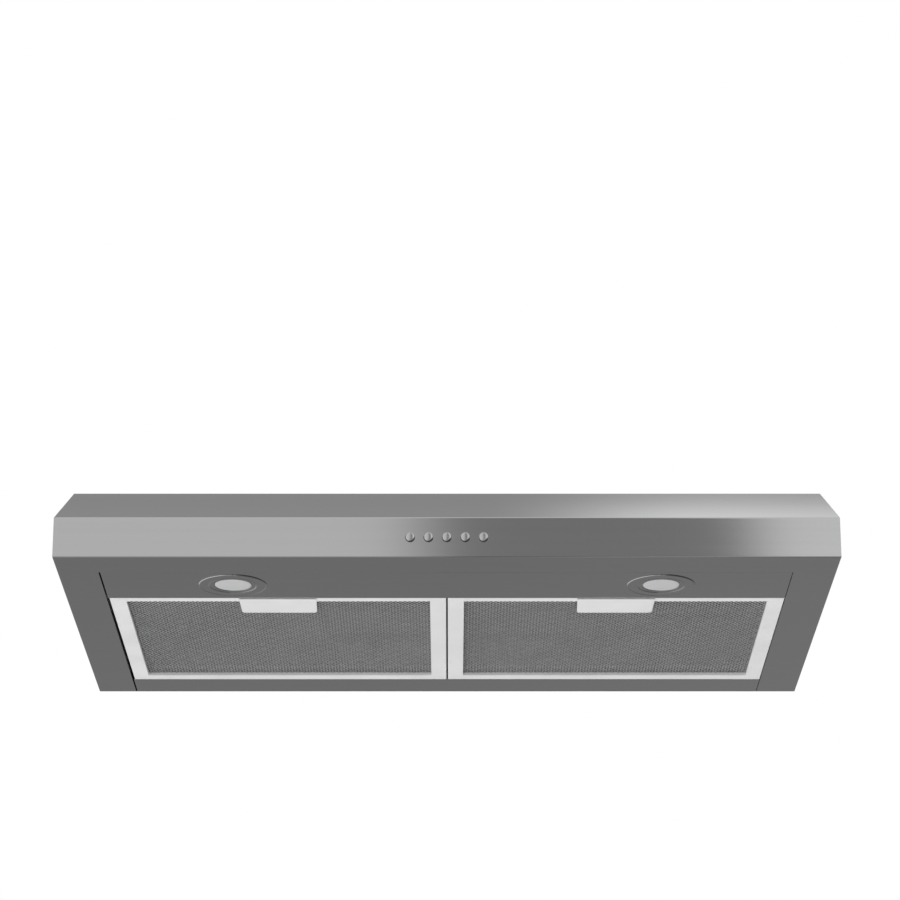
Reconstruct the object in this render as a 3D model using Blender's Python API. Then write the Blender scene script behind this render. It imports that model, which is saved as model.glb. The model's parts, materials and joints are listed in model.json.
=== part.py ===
"""Slim under cabinet range hood: a folded steel canopy with two lift-down mesh filters, two lamps,
five push-buttons, a flat centrifugal blower and a rectangular duct collar with a two-flap damper.

Metres, +Z up, +X to the right, +Y towards the wall. Places are given as (x, depth, height): depth runs
back from the fascia and height runs up from the underside. The origin is on the roof's top face, on the
centre line, where the roof meets the cabinet.
"""
from math import asin, cos, hypot, pi, radians, sin

import bmesh
import bpy
from mathutils import Matrix, Vector

# ---- driving dimensions -------------------------------------------------------------------------
WIDTH = 0.750
DEPTH = 0.465
HEIGHT = 0.118
FASCIA_HEIGHT = 0.040  # upright front
SLOPE_RUN = 0.155  # from the fascia back to the flat roof
ORIGIN_DEPTH = 0.310
SHEET = 0.001
GAP = 0.0003
BEND_RADIUS = 0.002
LOWER_BEND = 0.0012  # between the fascia and the underside
END_FOLD = 0.0006  # rounding of the edges of the two ends
TRAY_FOLD = 0.0005
OVERLAP = 0.01  # how far a cutter runs past what it cuts
ROOF_LIP = 0.0025  # flat band of canopy in front of the roof panel
ROOF_SPLIT = 0.340  # the roof's face ahead of this carries the cabinet, and the duct is behind it
FLANGE = 0.012

FRONT_MARGIN = 0.0465
LEFT_MARGIN = 0.0394
RIGHT_MARGIN = 0.0414
TRAY_HEIGHT = 0.0110  # upturned edges of the two underside panels and of the canopy's margins
TRAY_SEAM = 0.0004
LEFT_SEAM = 0.0014
OPENING_FRONT = 0.1297
OPENING_BACK = 0.4190

FILTER_WIDTH = 0.3322
FILTER_FRONT = OPENING_FRONT + 0.0005
FILTER_BACK = OPENING_BACK - 0.0006
FILTER_BOTTOM = 0.0002  # all but flush with the underside
FILTER_THICK = 0.0110
FILTER_SPLIT = 0.0016  # between the two filters
FILTER_BAR = 0.0160
FILTER_FRONT_BAR = 0.0107
FILTER_REAR_BAR = 0.0150
FRAME_WEB = 0.0012
FRAME_FACE = 0.0033  # from the frame's face to the groove that holds the mesh
FRAME_FOLD = 0.0006  # rounding of the frame's lower edges
TAB_OFFSET = 0.100
TAB_WIDTH = 0.020
TAB_REACH = 0.0052
TAB_HEIGHT = (FILTER_BOTTOM + 0.0016, FILTER_BOTTOM + 0.0026)

LATCH_WIDTH = 0.0765
LATCH_TAPER = 0.0010
LATCH_CORNER = 0.0035
LATCH_END = 0.1747
LATCH_SHEET = 0.0009
LATCH_RISER = 0.0012
TONGUE_WIDTH = 0.024
SLOT_CLEARANCE = 0.0015
SLOT_LENGTH = 0.0170  # of the slot in the mesh that the latch slides in

LAMP_X = 0.2085
LAMP_DEPTH = 0.0874
LENS_RADIUS = 0.0180
BEZEL_RADIUS = 0.0335
BEZEL_INNER = 0.0230
BEZEL_SHEET = 0.0006
BEZEL_STEP = 0.0004
LAMP_HOLE = 0.0262
BOARD_THICK = 0.0016

BUTTON_COUNT = 5
BUTTON_PITCH = 0.0175
BUTTON_RADIUS = 0.0044
BUTTON_HOLE = 0.0047
BUTTON_HEIGHT = 0.0200
BUTTON_PROUD = 0.0030
BUTTON_EDGE = 0.0013  # rounding of the rim
BUTTON_CROWN = 0.0001  # how much higher the middle stands than the rim

BLOWER_X = -0.030
BLOWER_DEPTH = 0.272
BLOWER_BOTTOM = 0.0600
BLOWER_TOP = HEIGHT - SHEET - GAP
SCROLL_START = 0.078  # spiral radius at the tongue
SCROLL_END = 0.108  # spiral radius at the outlet
TONGUE_ANGLE = radians(60)
IMPELLER_RADIUS = 0.075
BLADE_INNER = 0.062
BLADE_COUNT = 30
CUP_RADIUS = 0.045
HUB_LOW = 0.0735
SHAFT_RADIUS = 0.004
CAN_RADIUS = 0.0415
CAN_FLANGE = 0.0550
PLATE_RIM = 0.008  # how far the blower's base plate runs past the scroll

DUCT_WIDTH = 0.254  # outside of the collar, a standard 3 1/4 x 10 inch duct
DUCT_LENGTH = 0.0826
DUCT_DEPTH = 0.405
COLLAR_HEIGHT = 0.028
COLLAR_WALL = 0.0020
COLLAR_LEDGE = 0.0030
COLLAR_FOOT = 0.0110
COLLAR_FOOT_SHEET = 0.0012
FLAP_SHEET = 0.0008
LEDGE_HEIGHT = 0.0080
ROD_RADIUS = 0.0015
ROD_HEIGHT = 0.0105

BOX_X = (0.205, 0.295)
BOX_DEPTH = (0.345, 0.425)
BOX_BOTTOM = 0.0780
GLAND_PLACE = (0.250, 0.385)
GLAND_HOLE = 0.0110
KEYHOLES = [(x, depth) for x in (-0.31, 0.31) for depth in (0.21, 0.43)]
REAR_OPENING = (0.020, 0.092)  # for discharge through the wall, closed by a cover
COVER_RIM = 0.0065
COVER_CORNER = 0.004

RAIL_HALF = 0.009
RAIL_HEIGHT = 0.0118
RAIL_OVERLAP = 0.006  # how far the rail runs onto each tray

LEFT_EDGE = -WIDTH / 2 + LEFT_MARGIN
RIGHT_EDGE = WIDTH / 2 - RIGHT_MARGIN
SIDES = {"left": -1, "right": 1}


# ---- places and materials -----------------------------------------------------------------------
def place(x, depth, height):
    """World point for a place across, back from the fascia and up from the underside."""
    return Vector((x, depth - ORIGIN_DEPTH, height - HEIGHT))


def finish(name, colour, roughness, metallic):
    """A plain Principled material."""
    material = bpy.data.materials.new(name)
    material.use_nodes = True
    shader = material.node_tree.nodes["Principled BSDF"]
    shader.inputs["Base Color"].default_value = (*colour, 1.0)
    shader.inputs["Roughness"].default_value = roughness
    shader.inputs["Metallic"].default_value = metallic
    material.diffuse_color = (*colour, 1.0)
    return material


# ---- mesh building ------------------------------------------------------------------------------
def box(x, depth, height, bm=None):
    """A block between three pairs of limits, added to bm."""
    bm = bm or bmesh.new()
    low = place(x[0], depth[0], height[0])
    high = place(x[1], depth[1], height[1])
    made = bmesh.ops.create_cube(bm, size=1.0)["verts"]
    size = Matrix.Diagonal((*(high - low), 1.0))
    bmesh.ops.transform(bm, matrix=Matrix.Translation((low + high) / 2) @ size, verts=made)
    return bm


def extrude(corners, along, bm=None):
    """A prism from a flat outline of world points, moved along a vector."""
    bm = bm or bmesh.new()
    face = bm.faces.new([bm.verts.new(corner) for corner in corners])
    grown = bmesh.ops.extrude_face_region(bm, geom=[face])["geom"]
    moved = [item for item in grown if isinstance(item, bmesh.types.BMVert)]
    bmesh.ops.translate(bm, vec=along, verts=moved)
    bmesh.ops.recalc_face_normals(bm, faces=bm.faces)
    return bm


def side_prism(outline, x, bm=None):
    """A prism across the hood from an outline of (depth, height) points."""
    return extrude([place(x[0], *point) for point in outline], Vector((x[1] - x[0], 0, 0)), bm)


def plan_prism(outline, height, bm=None):
    """An upright prism from an outline of (x, depth) points."""
    rise = Vector((0, 0, height[1] - height[0]))
    return extrude([place(x, depth, height[0]) for x, depth in outline], rise, bm)


def turned(profile, centre, axis="Z", segments=32, bm=None):
    """A turned solid. The profile is a list of (radius, distance along the axis); one that starts and
    ends on the axis is a solid bar, and any other is closed into a ring."""
    bm = bm or bmesh.new()
    rings = []
    for radius, along in profile:
        count = segments if radius > 0 else 1
        ring = []
        for step in range(count):
            turn = 2 * pi * step / segments
            across = (radius * cos(turn), radius * sin(turn))
            offset = (across[0], across[1], along) if axis == "Z" else (across[0], along, across[1])
            ring.append(bm.verts.new(centre + Vector(offset)))
        rings.append(ring)
    closed = profile[0][0] > 0
    pairs = list(zip(rings, rings[1:] + rings[:1])) if closed else list(zip(rings, rings[1:]))
    for low, high in pairs:
        for step in range(segments):
            corners = [
                low[step % len(low)],
                low[(step + 1) % len(low)],
                high[(step + 1) % len(high)],
                high[step % len(high)],
            ]
            bm.faces.new(list(dict.fromkeys(corners)))
    bmesh.ops.recalc_face_normals(bm, faces=bm.faces)
    return bm


def cylinder(radius, centre, length, axis="Z", segments=24, bm=None):
    """A round bar that starts at centre and runs along the axis."""
    return turned([(0, 0), (radius, 0), (radius, length), (0, length)], centre, axis, segments, bm)


def arc(centre, radius, start, end, steps):
    """Points on an arc, both ends included."""
    turns = [start + (end - start) * step / steps for step in range(steps + 1)]
    return [(centre[0] + radius * cos(turn), centre[1] + radius * sin(turn)) for turn in turns]


def rounded(corners, radius, steps=3):
    """An outline with each corner replaced by an arc, radius given per corner, 0 for a sharp one."""
    outline = []
    for index, corner in enumerate(corners):
        here = Vector(corner)
        before = (Vector(corners[index - 1]) - here).normalized()
        after = (Vector(corners[(index + 1) % len(corners)]) - here).normalized()
        if not radius[index]:
            outline.append(corner)
            continue
        half = before.angle(after) / 2
        middle = here + (before + after).normalized() * radius[index] / sin(half)
        first = here + before * radius[index] / (sin(half) / cos(half)) - middle
        last = here + after * radius[index] / (sin(half) / cos(half)) - middle
        for step in range(steps + 1):
            blend = step / steps
            toward = first.lerp(last, blend).normalized() * radius[index]
            outline.append(tuple(middle + toward))
    return outline


def inset(limits, margin):
    """A pair of limits drawn in by a margin, or spread by a negative one."""
    return (limits[0] + margin, limits[1] - margin)


def rectangle(x, depth, radius, steps=3):
    """A plan outline with equal round corners."""
    corners = [(x[0], depth[0]), (x[1], depth[0]), (x[1], depth[1]), (x[0], depth[1])]
    return rounded(corners, [radius] * 4, steps)


# ---- objects ------------------------------------------------------------------------------------
def add(name, bm, material, pivot=None, smooth_angle=35):
    """A named object, with its origin on its joint's axis where it moves."""
    mesh = bpy.data.meshes.new(name)
    if pivot is not None:
        bmesh.ops.translate(bm, vec=-pivot, verts=bm.verts)
    bm.to_mesh(mesh)
    bm.free()
    mesh.materials.append(material)
    mesh.shade_smooth()
    mesh.set_sharp_from_angle(angle=radians(smooth_angle))
    item = bpy.data.objects.new(name, mesh)
    item.location = pivot or (0, 0, 0)
    bpy.context.collection.objects.link(item)
    return item


def combine(item, operation, bm):
    """Cut a shape from an object, or join one to it, by a Boolean."""
    mesh = bpy.data.meshes.new(item.name + "_tool")
    bm.to_mesh(mesh)
    bm.free()
    tool = bpy.data.objects.new(item.name + "_tool", mesh)
    tool.hide_render = True
    tool.display_type = "WIRE"
    bpy.context.collection.objects.link(tool)
    boolean = item.modifiers.new(operation.lower(), "BOOLEAN")
    boolean.operation = operation
    boolean.object = tool
    return item


def cut(item, bm):
    """Take a shape away from an object."""
    return combine(item, "DIFFERENCE", bm)


def join(item, bm):
    """Join a shape to an object."""
    return combine(item, "UNION", bm)


def bevel_edges(bm, chosen, width, segments=2):
    """Round the edges that a test picks."""
    edges = [edge for edge in bm.edges if chosen(edge)]
    bmesh.ops.bevel(bm, geom=edges, offset=width, segments=segments, profile=0.5, affect="EDGES")
    return bm


def on_level(edge, axis, value):
    """True if both ends of an edge lie at one value along an axis."""
    return all(abs(vert.co[axis] - value) < 1e-6 for vert in edge.verts)


# ---- canopy and panels --------------------------------------------------------------------------
def inner_slope(height):
    """Depth of the slope's inner face at a height."""
    rise = HEIGHT - FASCIA_HEIGHT
    length = hypot(rise, SLOPE_RUN)
    return (height - FASCIA_HEIGHT) * SLOPE_RUN / rise + SHEET * length / rise


def inner_fascia_top():
    """Height where the inner faces of the fascia and the slope meet."""
    rise = HEIGHT - FASCIA_HEIGHT
    return FASCIA_HEIGHT + (SHEET - SHEET * hypot(rise, SLOPE_RUN) / rise) * rise / SLOPE_RUN


def make_canopy(steel):
    """Fascia, slope, sides, underside margins and the flanges that the roof and back sit on."""
    half = WIDTH / 2
    corners = [(DEPTH, 0), (0, 0), (0, FASCIA_HEIGHT), (SLOPE_RUN, HEIGHT), (DEPTH, HEIGHT)]
    outline = rounded(corners, [0, LOWER_BEND, BEND_RADIUS, BEND_RADIUS, 0])
    outer = side_prism(outline, (-half, half))
    bevel_edges(outer, lambda e: on_level(e, 0, half) or on_level(e, 0, -half), END_FOLD)
    canopy = add("canopy_shell", outer, steel)

    inside = half - SHEET
    layer = 2 * SHEET + GAP  # a flange and the panel that lies on it
    ceiling = HEIGHT - layer
    cavity = [
        (DEPTH - layer, TRAY_HEIGHT),
        (SHEET, TRAY_HEIGHT),
        (SHEET, inner_fascia_top()),
        (inner_slope(ceiling), ceiling),
        (DEPTH - layer, ceiling),
    ]
    cut(canopy, side_prism(cavity, (-inside, inside)))
    pocket_height = (SHEET, TRAY_HEIGHT + SHEET)
    rear = DEPTH - layer
    cut(canopy, box((-inside, inside), (SHEET, FRONT_MARGIN - SHEET), pocket_height))
    cut(canopy, box((-inside, LEFT_EDGE - SHEET), (SHEET * 2, rear), pocket_height))
    cut(canopy, box((RIGHT_EDGE + SHEET, inside), (SHEET * 2, rear), pocket_height))
    cut(canopy, box((LEFT_EDGE, RIGHT_EDGE), (FRONT_MARGIN, DEPTH + OVERLAP),
                    (-OVERLAP, TRAY_HEIGHT + SHEET)))

    recess = inside - GAP
    cut(canopy, box((-recess, recess), (SLOPE_RUN + ROOF_LIP, DEPTH + OVERLAP),
                    (HEIGHT - SHEET - GAP, HEIGHT + OVERLAP)))
    cut(canopy, box((-recess, recess), (DEPTH - SHEET - GAP, DEPTH + OVERLAP),
                    (-OVERLAP, HEIGHT + OVERLAP)))
    opening = recess - FLANGE
    cut(canopy, box((-opening, opening), (SLOPE_RUN + ROOF_LIP + FLANGE, DEPTH - FLANGE - layer),
                    (ceiling - OVERLAP, HEIGHT + OVERLAP)))
    cut(canopy, box((-opening, opening), (DEPTH - layer - OVERLAP, DEPTH + OVERLAP),
                    (SHEET, ceiling - FLANGE)))
    holes = bmesh.new()
    for index in range(BUTTON_COUNT):
        cylinder(BUTTON_HOLE, place(button_x(index), -OVERLAP, BUTTON_HEIGHT), 2 * OVERLAP, "Y", 24, holes)
    cut(canopy, holes)


def keyhole(x, depth, direction=1):
    """Outline of a round hole with a narrower slot running forward from it."""
    head = 0.0055
    slot = 0.0030
    reach = 0.011
    open_angle = asin(slot / head)
    top = arc((x, depth), head, -pi / 2 + open_angle, 3 * pi / 2 - open_angle, 12)
    tip = arc((x, depth - reach * direction), slot, pi, 2 * pi, 6)
    return top + tip


def make_roof(steel):
    """Flat top plate, with the duct opening, the cable hole and four keyholes."""
    reach = WIDTH / 2 - SHEET - 2 * GAP
    front = SLOPE_RUN + ROOF_LIP + GAP
    plate = box((-reach, reach), (front, DEPTH), (HEIGHT - SHEET, HEIGHT))
    everything = plate.verts[:] + plate.edges[:] + plate.faces[:]
    bmesh.ops.bisect_plane(plate, geom=everything, plane_co=place(0, ROOF_SPLIT, 0), plane_no=(0, 1, 0))
    roof = add("roof_panel", plate, steel)
    through = (HEIGHT - OVERLAP, HEIGHT + OVERLAP)
    half_x = DUCT_WIDTH / 2 - COLLAR_WALL - COLLAR_LEDGE
    half_y = DUCT_LENGTH / 2 - COLLAR_WALL - COLLAR_LEDGE
    cut(roof, box((-half_x, half_x), (DUCT_DEPTH - half_y, DUCT_DEPTH + half_y), through))
    holes = cylinder(GLAND_HOLE, place(*GLAND_PLACE, through[0]), through[1] - through[0])
    for x, depth in KEYHOLES:
        plan_prism(keyhole(x, depth), through, holes)
    cut(roof, holes)


def make_back(steel):
    """Rear plate, with the opening for rear discharge and its blanking cover."""
    reach = WIDTH / 2 - SHEET - 2 * GAP
    top = HEIGHT - SHEET - GAP
    back = add("back_panel", box((-reach, reach), (DEPTH - SHEET, DEPTH), (0, top)), steel)
    half_x = DUCT_WIDTH / 2 - COLLAR_WALL - COLLAR_LEDGE
    cut(back, box((-half_x, half_x), (DEPTH - OVERLAP, DEPTH + OVERLAP), REAR_OPENING))
    cover_front = DEPTH - 2 * SHEET - GAP
    cover_x = inset((-half_x, half_x), -COVER_RIM)
    outline = rectangle(cover_x, inset(REAR_OPENING, -COVER_RIM), COVER_CORNER)
    cover = extrude([place(x, cover_front, height) for x, height in outline], Vector((0, SHEET, 0)))
    add("rear_duct_cover", cover, steel)


def tray(x, depth):
    """A shallow panel with upturned edges, its lower edges softened by the fold."""
    bm = box(x, depth, (0, TRAY_HEIGHT))
    base = place(0, 0, 0).z
    return bevel_edges(bm, lambda e: on_level(e, 2, base), TRAY_FOLD)


def make_underside_panels(steel, dark):
    """Lamp panel in front of the filters, trim strip behind them and the rail between them."""
    x = (LEFT_EDGE + LEFT_SEAM, RIGHT_EDGE - TRAY_SEAM)
    depth = (FRONT_MARGIN + TRAY_SEAM, OPENING_FRONT)
    panel = add("lamp_panel", tray(x, depth), steel)
    hollow = (SHEET, TRAY_HEIGHT + OVERLAP)
    cut(panel, box((x[0] + SHEET, x[1] - SHEET), (depth[0] + SHEET, depth[1] - SHEET), hollow))
    holes = bmesh.new()
    for side in SIDES.values():
        cylinder(LAMP_HOLE, place(side * LAMP_X, LAMP_DEPTH, -OVERLAP), 2 * OVERLAP, segments=32, bm=holes)
    cut(panel, holes)

    depth = (OPENING_BACK, DEPTH - SHEET - 2 * GAP)
    trim = add("rear_trim", tray(x, depth), steel)
    cut(trim, box((x[0] + SHEET, x[1] - SHEET), (depth[0] + SHEET, depth[1] - SHEET), hollow))
    slots = bmesh.new()
    for side in SIDES.values():
        for tab in (-1, 1):
            middle = filter_x(side) + tab * TAB_OFFSET
            half = TAB_WIDTH / 2 + 0.002
            box((middle - half, middle + half), (OPENING_BACK - OVERLAP, OPENING_BACK + 0.006),
                (TAB_HEIGHT[0] - 0.0004, TAB_HEIGHT[0] + TAB_REACH), slots)
    cut(trim, slots)

    low = TRAY_HEIGHT + SHEET + 2 * GAP
    across = (-RAIL_HALF, RAIL_HALF)
    along = (OPENING_FRONT - SHEET - RAIL_OVERLAP, OPENING_BACK + SHEET + RAIL_OVERLAP)
    rail = add("filter_centre_rail", box(across, along, (low, low + RAIL_HEIGHT)), dark)
    channel = (low - OVERLAP, low + RAIL_HEIGHT - SHEET)
    cut(rail, box(inset(across, SHEET), (along[0] - OVERLAP, along[1] + OVERLAP), channel))


# ---- filters ------------------------------------------------------------------------------------
def filter_x(side):
    """Centre line of a filter."""
    return side * (FILTER_SPLIT + FILTER_WIDTH) / 2


def filter_pivot(side):
    """A filter hooks over the trim at its lower rear edge and swings down about it."""
    return place(filter_x(side), FILTER_BACK, FILTER_BOTTOM)


def make_filter(label, side, aluminium, mesh_metal, bright):
    """One filter: its folded frame with two rear hooks, its mesh pack, and its sliding latch."""
    middle = filter_x(side)
    pivot = filter_pivot(side)
    left = middle - FILTER_WIDTH / 2
    right = middle + FILTER_WIDTH / 2
    top = FILTER_BOTTOM + FILTER_THICK
    window_front = FILTER_FRONT + FILTER_FRONT_BAR
    window_x = (left + FILTER_BAR, right - FILTER_BAR)
    window_depth = (window_front, FILTER_BACK - FILTER_REAR_BAR)
    groove_x = (left + FRAME_WEB, right - FRAME_WEB)
    groove_depth = (FILTER_FRONT + FRAME_WEB, FILTER_BACK - FRAME_WEB)
    groove_height = (FILTER_BOTTOM + FRAME_FACE, top - SHEET)

    body = box((left, right), (FILTER_FRONT, FILTER_BACK), (FILTER_BOTTOM, top))
    base = place(0, 0, FILTER_BOTTOM).z
    bevel_edges(body, lambda e: on_level(e, 2, base), FRAME_FOLD)
    frame = add("filter_frame_" + label, body, aluminium, pivot)
    cut(frame, box(window_x, window_depth, (FILTER_BOTTOM - OVERLAP, top + OVERLAP)))
    cut(frame, box(groove_x, groove_depth, groove_height))
    hooks = bmesh.new()
    for tab in (-1, 1):
        here = middle + tab * TAB_OFFSET
        tab_x = (here - TAB_WIDTH / 2, here + TAB_WIDTH / 2)
        box(tab_x, (FILTER_BACK - FRAME_WEB / 2, FILTER_BACK + TAB_REACH), TAB_HEIGHT, hooks)
    join(frame, hooks)

    pack = box(inset(groove_x, GAP), inset(groove_depth, GAP), inset(groove_height, GAP))
    pack = add("filter_mesh_" + label, pack, mesh_metal, pivot)
    slot_half = TONGUE_WIDTH / 2 + SLOT_CLEARANCE
    slot_end = window_front + SLOT_LENGTH
    slot = box((middle - slot_half, middle + slot_half), (window_front - GAP, slot_end),
               (FILTER_BOTTOM - OVERLAP, top + OVERLAP))
    cut(pack, slot)

    make_latch(label, middle, window_front, top, aluminium, pivot)
    spring_front = window_front + 3 * GAP + LATCH_RISER
    spring_height = FILTER_BOTTOM + FILTER_THICK / 2
    spring(label, middle, (spring_front, slot_end - GAP), spring_height, bright)


def make_latch(label, middle, window_front, top, metal, pivot):
    """Finger plate under the frame, with a riser through the mesh slot and a lip over the frame."""
    plate_top = FILTER_BOTTOM - GAP
    plate_middle = plate_top - LATCH_SHEET / 2
    front = FILTER_FRONT + GAP
    half = LATCH_WIDTH / 2
    corners = [
        (middle - half, front),
        (middle + half, front),
        (middle + half - LATCH_TAPER, LATCH_END),
        (middle - half + LATCH_TAPER, LATCH_END),
    ]
    outline = rounded(corners, [0, 0, LATCH_CORNER, LATCH_CORNER], 4)
    plate = plan_prism(outline, (plate_top - LATCH_SHEET, plate_top))
    latch = add("filter_latch_" + label, plate, metal, pivot)
    riser = window_front + 2 * GAP
    lip = top + GAP
    section = [
        (riser, plate_middle),
        (riser + LATCH_RISER, plate_middle),
        (riser + LATCH_RISER, lip + LATCH_RISER),
        (FILTER_FRONT, lip + LATCH_RISER),
        (FILTER_FRONT, lip),
        (riser, lip),
    ]
    half_tongue = TONGUE_WIDTH / 2
    join(latch, side_prism(section, (middle - half_tongue, middle + half_tongue)))


def spring(label, x, depth, height, metal):
    """Small compression spring that pushes the latch forward, a helix of round wire."""
    turns = 5
    sides = 7
    radius = 0.0018
    wire = 0.0003
    steps = turns * sides
    length = depth[1] - depth[0] - 2 * wire
    points = []
    for step in range(steps + 1):
        turn = 2 * pi * step / sides
        back = depth[0] + wire + length * step / steps
        points.append(place(x + radius * cos(turn), back, height + radius * sin(turn)))
    tube("latch_spring_" + label, points, wire, 1, metal)


def tube(name, points, radius, smoothness, material):
    """A round wire or lead along a chain of world points."""
    curve = bpy.data.curves.new(name, "CURVE")
    curve.dimensions = "3D"
    curve.bevel_depth = radius
    curve.bevel_resolution = smoothness
    curve.use_fill_caps = True
    spline = curve.splines.new("POLY")
    spline.points.add(len(points) - 1)
    for point, where in zip(spline.points, points):
        point.co = (*where, 1.0)
    curve.materials.append(material)
    bpy.context.collection.objects.link(bpy.data.objects.new(name, curve))


# ---- lamps --------------------------------------------------------------------------------------
def make_lamp(label, side, steel, glass, plastic, board):
    """Lamp: bezel, diffuser lens, lamp board and finned housing. Profiles are (radius, height)."""
    centre = place(side * LAMP_X, LAMP_DEPTH, 0)
    rim = -GAP - BEZEL_SHEET  # face of the bezel's ring
    step = rim + BEZEL_STEP
    sleeve_inner = LENS_RADIUS + 0.0026
    sleeve_outer = sleeve_inner + 0.0034
    seat = 0.0008
    sleeve_top = 0.0105
    bezel = [
        (BEZEL_RADIUS, -GAP),
        (BEZEL_RADIUS, rim + 0.0003),
        (BEZEL_RADIUS - 0.0004, rim),
        (BEZEL_INNER + 0.0005, rim),
        (BEZEL_INNER, step),
        (LENS_RADIUS, step),
        (LENS_RADIUS, seat),
        (sleeve_inner, seat),
        (sleeve_inner, sleeve_top),
        (sleeve_outer, sleeve_top),
        (sleeve_outer, -GAP),
    ]
    add("lamp_bezel_" + label, turned(bezel, centre, segments=32), steel)

    window = LENS_RADIUS - GAP
    shoulder = sleeve_inner - GAP
    lens_top = 0.0030
    lens = [
        (0, -0.0004),
        (0.0150, -0.0002),
        (window, 0.0001),
        (window, seat + GAP),
        (shoulder, seat + GAP),
        (shoulder, lens_top),
        (0, lens_top),
    ]
    add("lamp_lens_" + label, turned(lens, centre, segments=32), glass)

    board_low = 0.0060
    board_top = board_low + BOARD_THICK
    seat_on_board = place(side * LAMP_X, LAMP_DEPTH, board_low)
    add("lamp_board_" + label, cylinder(0.0202, seat_on_board, BOARD_THICK), board)

    outer = LAMP_HOLE - 0.0006
    inner = sleeve_outer + GAP
    top = 0.0235
    fins = 3
    housing = [(0, board_top + GAP), (0.0195, board_top + GAP), (0.0195, 0.0112), (inner, 0.0112),
               (inner, board_low), (outer, board_low)]
    for fin in range(fins):
        low = 0.0125 + 0.0035 * fin
        housing += [(outer, low), (0.0215, low), (0.0215, low + 0.0017), (outer, low + 0.0017)]
    housing += [(outer, top), (0, top)]
    add("lamp_housing_" + label, turned(housing, centre, segments=20), plastic)


# ---- controls -----------------------------------------------------------------------------------
def button_x(index):
    """Buttons are spaced evenly about the centre line."""
    return (index - (BUTTON_COUNT - 1) / 2) * BUTTON_PITCH


def make_controls(chrome, plastic, board):
    """Five crowned push-buttons, the switch block that guides them and the board behind it."""
    names = ["button_lamps", "button_stop", "button_speed_low", "button_speed_mid", "button_speed_high"]
    collar = BUTTON_RADIUS + 0.0014
    collar_front = SHEET + GAP
    collar_back = collar_front + 0.0010
    stem = 0.0025
    stem_end = 0.0155
    shoulder = BUTTON_RADIUS - BUTTON_EDGE
    edge = arc((shoulder, BUTTON_EDGE - BUTTON_PROUD + BUTTON_CROWN), BUTTON_EDGE, -pi / 2, 0, 4)
    profile = [
        (0, -BUTTON_PROUD),
        *edge,
        (BUTTON_RADIUS, collar_front),
        (collar, collar_front),
        (collar, collar_back),
        (stem, collar_back),
        (stem, stem_end),
        (0, stem_end),
    ]
    for index, name in enumerate(names):
        centre = place(button_x(index), 0, BUTTON_HEIGHT)
        add(name, turned(profile, centre, "Y", 18), chrome, centre)

    half = 0.047
    foot = 0.058
    front = SHEET + GAP
    back = 0.0215
    recess = 0.0060
    low = 0.0105
    high = 0.0295
    outline = [(-foot, front), (-half, front), (-half, recess), (half, recess), (half, front), (foot, front),
               (foot, back), (-foot, back)]
    block = add("switch_block", plan_prism(outline, (low, high)), plastic)
    bores = bmesh.new()
    for index in range(BUTTON_COUNT):
        start = place(button_x(index), -OVERLAP, BUTTON_HEIGHT)
        cylinder(stem + 0.0004, start, 0.0290, "Y", 16, bores)
    cut(block, bores)
    board_front = back + GAP
    board_x = foot + 0.004
    plate = box((-board_x, board_x), (board_front, board_front + BOARD_THICK), (0.0125, 0.0330))
    add("switch_board", plate, board)


# ---- blower -------------------------------------------------------------------------------------
def scroll_outline(extra, outlet_depth):
    """Plan outline of the scroll's air passage, grown by extra: a spiral from the tongue round to the
    outlet, then straight back."""
    steps = 30
    outline = []
    for step in range(steps + 1):
        turn = TONGUE_ANGLE + (2 * pi - TONGUE_ANGLE) * step / steps
        radius = scroll_radius(turn) + extra
        outline.append((BLOWER_X + radius * cos(turn), BLOWER_DEPTH + radius * sin(turn)))
    outline.append((BLOWER_X + SCROLL_END + extra, outlet_depth))
    outline.append((BLOWER_X + SCROLL_START * cos(TONGUE_ANGLE) - extra, outlet_depth))
    return outline


def scroll_radius(turn):
    """Radius of the spiral at a turn from the tongue."""
    return SCROLL_START + (SCROLL_END - SCROLL_START) * (turn - TONGUE_ANGLE) / (2 * pi - TONGUE_ANGLE)


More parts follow.
